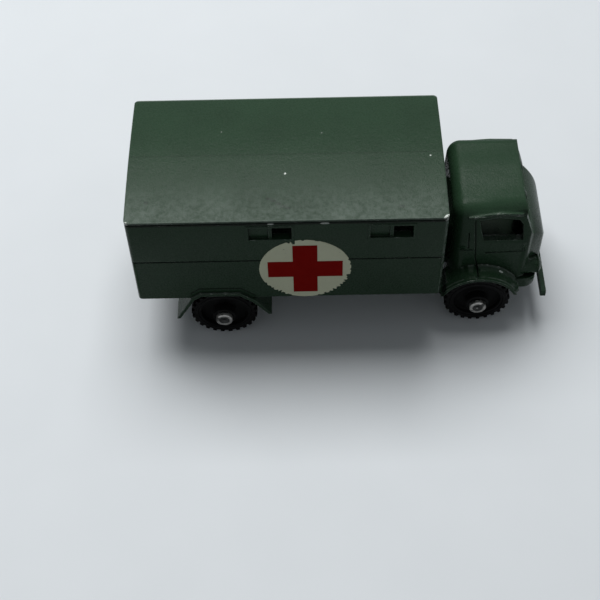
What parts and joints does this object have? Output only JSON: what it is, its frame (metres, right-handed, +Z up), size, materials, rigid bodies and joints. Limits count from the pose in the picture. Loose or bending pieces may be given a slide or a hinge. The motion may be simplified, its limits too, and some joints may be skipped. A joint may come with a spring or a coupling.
{
  "type": "toy military ambulance truck",
  "caption": "Small die-cast toy ambulance lorry in dark green, with a tall box body, snub-nosed cab and a red cross on white on each side",
  "frame": {"origin": "middle of the toy's length and width, on the ground under the wheels", "axes": "+X forward towards the bumper, +Y to the vehicle's left, +Z up"},
  "size_m": [0.0636, 0.0268, 0.0283],
  "materials": {
    "body_paint": "gloss",
    "base_paint": "satin",
    "axle_steel": "worn",
    "wheel_plastic": "matte",
    "white_print": "satin",
    "red_print": "satin"
  },
  "bodies": {
    "toy_body": {"body_casting": "body_paint", "base_plate": "base_paint", "front_axle": "axle_steel", "rear_axle": "axle_steel", "white_disc_left": "white_print", "white_disc_right": "white_print", "red_cross_left": "red_print", "red_cross_right": "red_print"},
    "front_left_wheel": {"wheel_front_left": "wheel_plastic"},
    "front_right_wheel": {"wheel_front_right": "wheel_plastic"},
    "rear_left_wheel": {"wheel_rear_left": "wheel_plastic"},
    "rear_right_wheel": {"wheel_rear_right": "wheel_plastic"}
  },
  "joints": [
    {"name": "front_left_wheel_turn", "type": "hinge", "parent": "toy_body", "child": "front_left_wheel", "pos_m": [0.02104, 0.00844, 0.00514], "axis": [0, 1, 0], "continuous": true},
    {"name": "front_right_wheel_turn", "type": "hinge", "parent": "toy_body", "child": "front_right_wheel", "pos_m": [0.02104, -0.00844, 0.00514], "axis": [0, 1, 0], "continuous": true},
    {"name": "rear_left_wheel_turn", "type": "hinge", "parent": "toy_body", "child": "rear_left_wheel", "pos_m": [-0.01861, 0.00993, 0.00514], "axis": [0, 1, 0], "continuous": true},
    {"name": "rear_right_wheel_turn", "type": "hinge", "parent": "toy_body", "child": "rear_right_wheel", "pos_m": [-0.01861, -0.00993, 0.00514], "axis": [0, 1, 0], "continuous": true}
  ]
}
